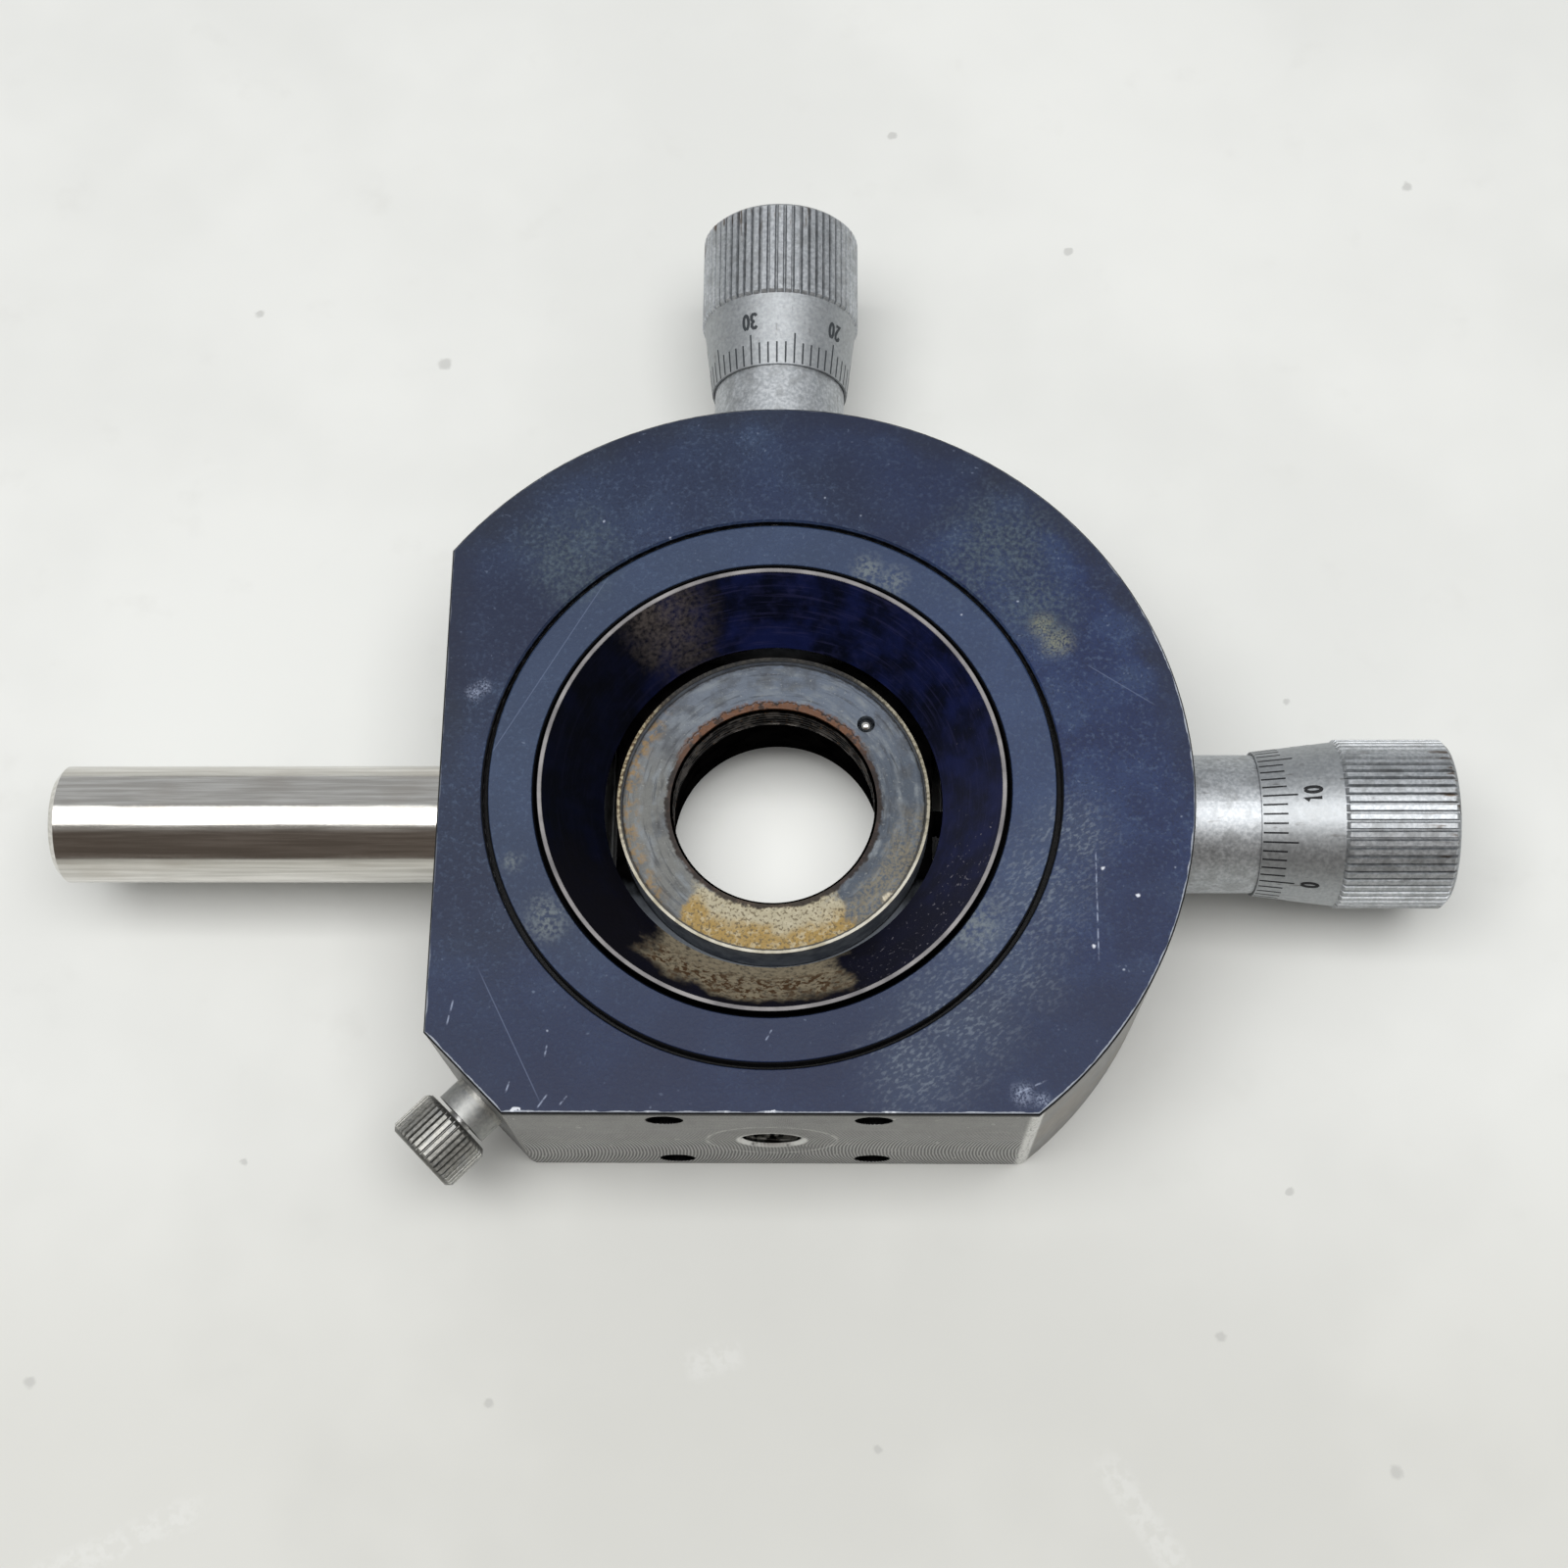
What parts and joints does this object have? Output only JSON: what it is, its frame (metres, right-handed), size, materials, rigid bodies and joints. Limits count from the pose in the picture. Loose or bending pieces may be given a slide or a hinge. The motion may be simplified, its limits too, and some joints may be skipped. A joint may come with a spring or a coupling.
{
  "type": "xy translation stage",
  "caption": "Round-bodied two-axis translation stage for an optic: conical well, threaded seat, two micrometer drums at right angles, a corner lock and a mounting rod.",
  "frame": {"origin": "on the optical axis, at the front face of the threaded insert where the optic seats", "axes": "+Z along the optical axis out of the well, +X towards the X micrometer drum and away from the mounting rod, +Y towards the Y micrometer drum"},
  "size_m": [0.1645, 0.1234, 0.0294],
  "materials": {
    "bare_aluminium": "face-milled, worn",
    "navy_anodised": "satin anodised, dusty",
    "dark_anodised": "matt anodised, brown with age",
    "satin_chrome": "satin",
    "ground_steel": "ground and polished",
    "grey_steel": "mottled, stained",
    "bronze": "turned",
    "dark_steel": "blackened"
  },
  "bodies": {
    "stage_body": {"housing": "bare_aluminium", "top_plate": "navy_anodised", "cover_ring": "navy_anodised", "cone_shield": "dark_anodised", "back_plate": "bare_aluminium", "back_plate_screws": "dark_steel", "mounting_rod": "ground_steel", "rod_stud": "dark_steel", "barrel_set_screws": "dark_steel", "y_guide_rods": "ground_steel", "guide_rod_plugs": "dark_steel", "x_pin_bush": "bronze", "y_pin_bush": "bronze", "x_barrel": "satin_chrome", "y_barrel": "satin_chrome", "lock_bush": "satin_chrome", "lock_tongue": "bronze", "y_return_springs": "ground_steel"},
    "y_frame": {"y_frame": "bare_aluminium", "y_thrust_pad": "ground_steel", "x_guide_rods": "ground_steel", "y_guide_bushes": "bronze", "x_return_springs": "ground_steel"},
    "carrier": {"carrier": "bare_aluminium", "x_thrust_pad": "ground_steel", "optic_sleeve": "navy_anodised", "insert_ring": "grey_steel", "insert_ball": "ground_steel", "x_guide_bushes": "bronze"},
    "x_push_pin": {"x_thrust_pin": "ground_steel"},
    "x_drum": {"x_spindle": "ground_steel", "x_thimble": "satin_chrome", "x_drum_cap": "satin_chrome"},
    "y_push_pin": {"y_thrust_pin": "ground_steel"},
    "y_drum": {"y_spindle": "ground_steel", "y_thimble": "satin_chrome", "y_drum_cap": "satin_chrome"},
    "lock_ball": {"lock_ball": "ground_steel"},
    "lock_screw": {"lock_screw": "ground_steel", "lock_knob": "satin_chrome"}
  },
  "joints": [
    {"name": "y_travel", "type": "slide", "parent": "stage_body", "child": "y_frame", "axis": [0, 1, 0], "range_m": [-0.001, 0.001], "deforming": ["y_return_springs"]},
    {"name": "x_travel", "type": "slide", "parent": "y_frame", "child": "carrier", "axis": [1, 0, 0], "range_m": [-0.001, 0.001], "deforming": ["x_return_springs"]},
    {"name": "x_pin_slide", "type": "slide", "parent": "stage_body", "child": "x_push_pin", "axis": [1, 0, 0], "range_m": [-0.00103, 0.00103]},
    {"name": "x_drum_turn", "type": "hinge", "parent": "x_push_pin", "child": "x_drum", "pos_m": [0.06, 0, -0.007], "axis": [1, 0, 0], "range_deg": [-745, 745]},
    {"name": "y_pin_slide", "type": "slide", "parent": "stage_body", "child": "y_push_pin", "axis": [0, 1, 0], "range_m": [-0.00103, 0.00103]},
    {"name": "y_drum_turn", "type": "hinge", "parent": "y_push_pin", "child": "y_drum", "pos_m": [0, 0.06, -0.007], "axis": [0, 1, 0], "range_deg": [-745, 745]},
    {"name": "lock_ball_slide", "type": "slide", "parent": "stage_body", "child": "lock_ball", "axis": [0.7071, 0.7071, 0], "range_m": [-0.0005, 0.00025]},
    {"name": "lock_turn", "type": "hinge", "parent": "lock_ball", "child": "lock_screw", "pos_m": [-0.035, -0.035, -0.007], "axis": [0.7071, 0.7071, 0], "range_deg": [-400, 220]}
  ],
  "couplings": [
    {"joint": "x_pin_slide", "follows": "x_travel", "ratio": 1},
    {"joint": "x_drum_turn", "follows": "x_travel", "rad_per_m": 12566},
    {"joint": "y_pin_slide", "follows": "y_travel", "ratio": 1},
    {"joint": "y_drum_turn", "follows": "y_travel", "rad_per_m": 12566},
    {"joint": "lock_turn", "follows": "lock_ball_slide", "rad_per_m": 12566}
  ]
}
